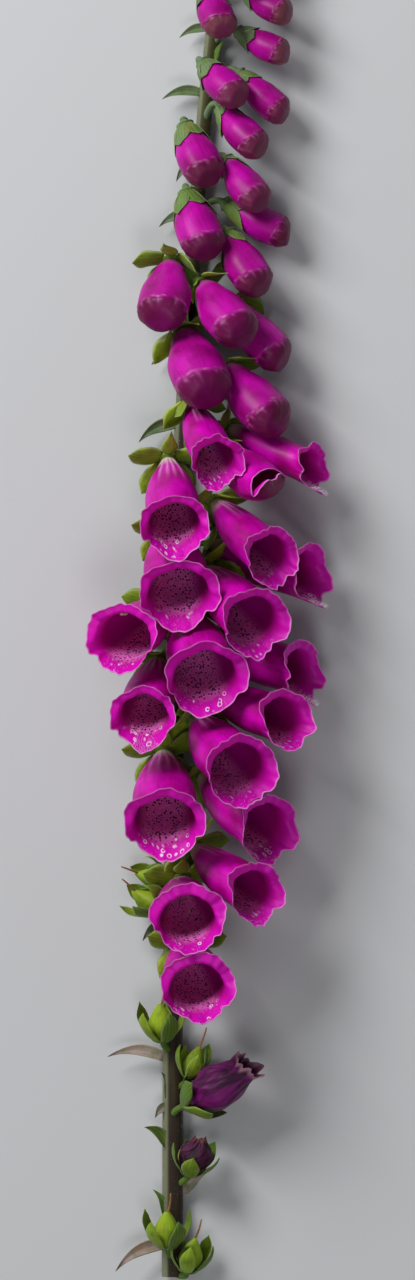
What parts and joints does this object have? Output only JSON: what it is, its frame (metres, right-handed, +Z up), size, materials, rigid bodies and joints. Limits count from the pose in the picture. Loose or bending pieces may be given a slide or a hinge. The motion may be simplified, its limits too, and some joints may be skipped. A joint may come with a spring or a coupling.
{
  "type": "foxglove flower spike",
  "caption": "Cut spike of hanging purple bell flowers on a one-sided stalk, with buds at the tip, seed capsules and bracts, laid on its back.",
  "frame": {"origin": "on the flat strip of the stalk's back that lies on the surface, halfway up the blooming part of the spike", "axes": "+Y up the spike from the cut foot towards the tip, +Z up from the surface towards the bells' mouths, +X to the right as the bells face the viewer"},
  "size_m": [0.1002, 0.5829, 0.063],
  "materials": {
    "green": "matt, finely downy, green with a dark purple-brown flush on the shaded side of the stalk",
    "corolla": "soft satin petal, vivid magenta-purple with a paler neck and rim",
    "wilted": "matt, limp and wrinkled, dark purple",
    "withered": "matt, dry and shrunken, dark purple-brown"
  },
  "bodies": {
    "root": {"bell_01": "corolla", "bell_02": "corolla", "bell_03": "corolla", "bell_04": "corolla", "bell_05": "corolla", "bell_06": "corolla", "bell_07": "corolla", "bell_08": "corolla", "bell_09": "corolla", "bell_10": "corolla", "bell_11": "corolla", "bell_12": "corolla", "bell_13": "corolla", "bell_14": "corolla", "bell_15": "corolla", "bell_16": "corolla", "bell_17": "corolla", "bell_18": "corolla", "bud_01": "corolla", "bud_02": "corolla", "bud_03": "corolla", "bud_04": "corolla", "bud_05": "corolla", "bud_06": "corolla", "bud_07": "corolla", "bud_08": "corolla", "bud_09": "corolla", "bud_10": "corolla", "bud_11": "corolla", "bud_12": "corolla", "bud_13": "corolla", "bud_14": "corolla", "bud_15": "corolla", "bud_16": "corolla", "bud_17": "corolla", "bud_18": "corolla", "bud_19": "corolla", "bud_20": "corolla", "bud_21": "corolla", "bud_22": "corolla", "bud_23": "corolla", "opening_bell": "corolla", "stalk_with_calyxes": "green", "wilted_bell": "wilted", "withered_bell": "withered"}
  },
  "joints": []
}
